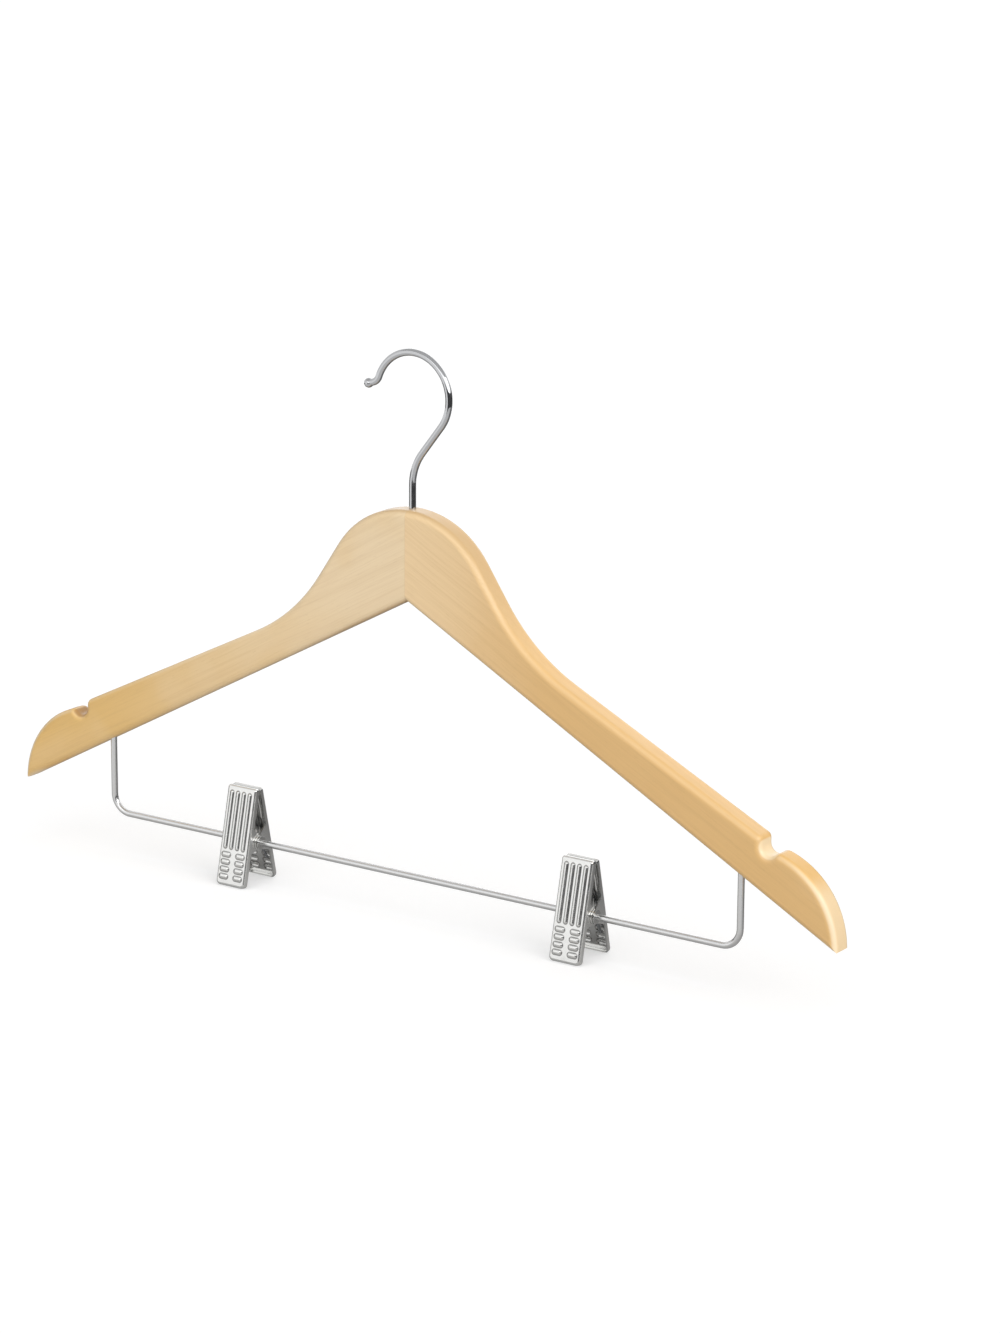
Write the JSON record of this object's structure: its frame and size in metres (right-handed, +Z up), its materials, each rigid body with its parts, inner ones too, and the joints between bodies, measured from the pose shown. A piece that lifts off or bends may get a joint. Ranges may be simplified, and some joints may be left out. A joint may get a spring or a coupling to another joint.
{
  "type": "skirt hanger",
  "caption": "Wooden clothes hanger with a swivel wire hook, shoulder notches and a wire bar carrying sliding spring clips for a skirt.",
  "frame": {"origin": "highest point inside the hook, where it bears on a rod", "axes": "+X along the arms, +Y to the back, +Z up; the hook opens towards -X"},
  "size_m": [0.446, 0.0258, 0.2608],
  "materials": {
    "wood": "clear satin lacquer over pale hardwood",
    "hook_chrome": "bright plated round wire",
    "bar_nickel": "plated drawn wire",
    "clip_nickel": "bright plated pressed sheet steel",
    "rivet_nickel": "plated tube with rolled rims",
    "spring_steel": "drawn spring wire",
    "zinc_steel": "zinc plated"
  },
  "bodies": {
    "hook": {"hook": "hook_chrome"},
    "frame": {"left_arm": "wood", "right_arm": "wood", "hook_washer": "zinc_steel", "clip_bar": "bar_nickel"},
    "left_slider": {"left_pivot_tube": "rivet_nickel"},
    "left_front": {"left_front_jaw": "clip_nickel", "left_spring": "spring_steel"},
    "left_rear": {"left_rear_jaw": "clip_nickel"},
    "right_slider": {"right_pivot_tube": "rivet_nickel"},
    "right_front": {"right_front_jaw": "clip_nickel", "right_spring": "spring_steel"},
    "right_rear": {"right_rear_jaw": "clip_nickel"}
  },
  "joints": [
    {"name": "hook_swivel", "type": "hinge", "parent": "hook", "child": "frame", "pos_m": [0, 0, -0.06817], "axis": [0, 0, 1], "continuous": true},
    {"name": "left_clip_slide", "type": "slide", "parent": "frame", "child": "left_slider", "axis": [1, 0, 0], "range_m": [-0.06, 0.084]},
    {"name": "left_clip_swing", "type": "hinge", "parent": "left_slider", "child": "left_front", "pos_m": [-0.0944, 0, -0.23767], "axis": [1, 0, 0], "continuous": true},
    {"name": "left_jaw_open", "type": "hinge", "parent": "left_front", "child": "left_rear", "pos_m": [-0.0944, 0, -0.23767], "axis": [-1, 0, 0], "range_deg": [0, 36], "stiffness_Nm_per_rad": 0.4, "springref_deg": -40.11, "deforming": ["left_spring"]},
    {"name": "right_clip_slide", "type": "slide", "parent": "frame", "child": "right_slider", "axis": [1, 0, 0], "range_m": [-0.08, 0.0635]},
    {"name": "right_clip_swing", "type": "hinge", "parent": "right_slider", "child": "right_front", "pos_m": [0.0907, 0, -0.23767], "axis": [1, 0, 0], "continuous": true},
    {"name": "right_jaw_open", "type": "hinge", "parent": "right_front", "child": "right_rear", "pos_m": [0.0907, 0, -0.23767], "axis": [-1, 0, 0], "range_deg": [0, 36], "stiffness_Nm_per_rad": 0.4, "springref_deg": -40.11, "deforming": ["right_spring"]}
  ]
}
